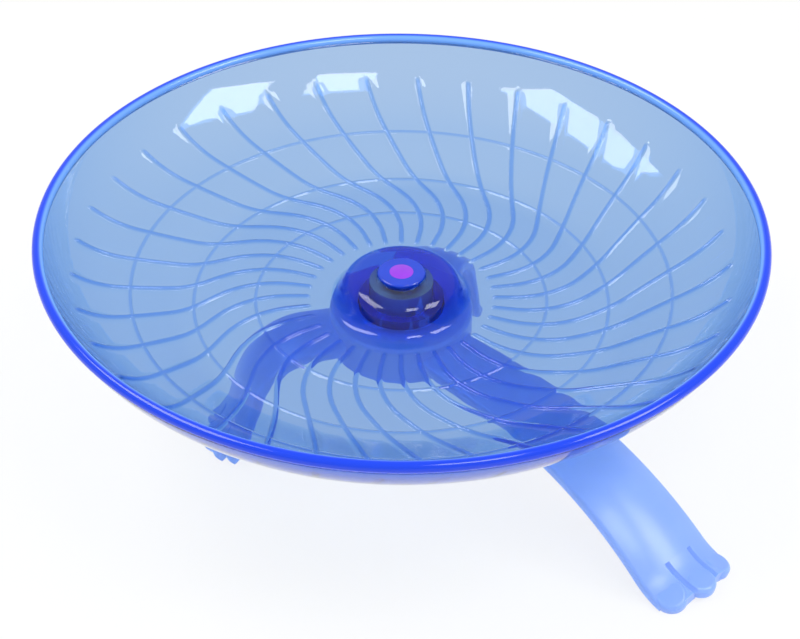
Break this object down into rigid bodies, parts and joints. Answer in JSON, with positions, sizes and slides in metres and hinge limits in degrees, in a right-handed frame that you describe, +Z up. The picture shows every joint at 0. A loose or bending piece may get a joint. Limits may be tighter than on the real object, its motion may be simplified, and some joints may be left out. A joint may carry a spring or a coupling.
{
  "type": "flying saucer hamster wheel",
  "caption": "Low tilted running saucer for a hamster: a clear ribbed dish that spins freely on a shielded ball bearing above a stand with splayed legs.",
  "frame": {"origin": "centre of the bounding box at the ground", "axes": "+Z up; +Y away from the long front leg, along the longest extent; +X to the right when looking along +Y"},
  "size_m": [0.18, 0.1902, 0.0692],
  "materials": {
    "clear_blue_plastic": "see-through blue moulded plastic with a polished surface",
    "dark_blue_plastic": "deep blue moulded plastic, polished",
    "magenta_plastic": "magenta violet moulded plastic, polished",
    "frosted_blue_plastic": "cloudy pale blue moulded plastic with a soft sheen",
    "bearing_steel": "ground and polished bearing steel",
    "plated_steel": "bright zinc plating",
    "cage_nylon": "plain natural nylon"
  },
  "bodies": {
    "stand": {"stand_hub": "frosted_blue_plastic", "stand_cover": "frosted_blue_plastic", "cover_screws": "plated_steel", "leg_front": "frosted_blue_plastic", "leg_left": "frosted_blue_plastic", "leg_right": "frosted_blue_plastic", "leg_screws": "plated_steel", "axle_pin": "plated_steel", "axle_spacer": "cage_nylon", "axle_screw": "plated_steel", "screw_washer": "plated_steel", "bearing_inner_race": "bearing_steel"},
    "dish": {"dish": "clear_blue_plastic", "hub_cap": "dark_blue_plastic", "cap_button": "magenta_plastic", "bearing_retainer": "dark_blue_plastic", "bearing_outer_race": "bearing_steel", "bearing_shield_upper": "bearing_steel", "bearing_shield_lower": "bearing_steel"},
    "balls": {"bearing_balls": "bearing_steel", "bearing_cage": "cage_nylon"}
  },
  "joints": [
    {"name": "dish_spin", "type": "hinge", "parent": "stand", "child": "dish", "pos_m": [0, 0.00721, 0.0382], "axis": [0, -0.0802, 0.9968], "continuous": true},
    {"name": "balls_spin", "type": "hinge", "parent": "stand", "child": "balls", "pos_m": [0, 0.00721, 0.0382], "axis": [0, -0.0802, 0.9968], "continuous": true}
  ],
  "couplings": [
    {"joint": "balls_spin", "follows": "dish_spin", "ratio": 0.643}
  ]
}
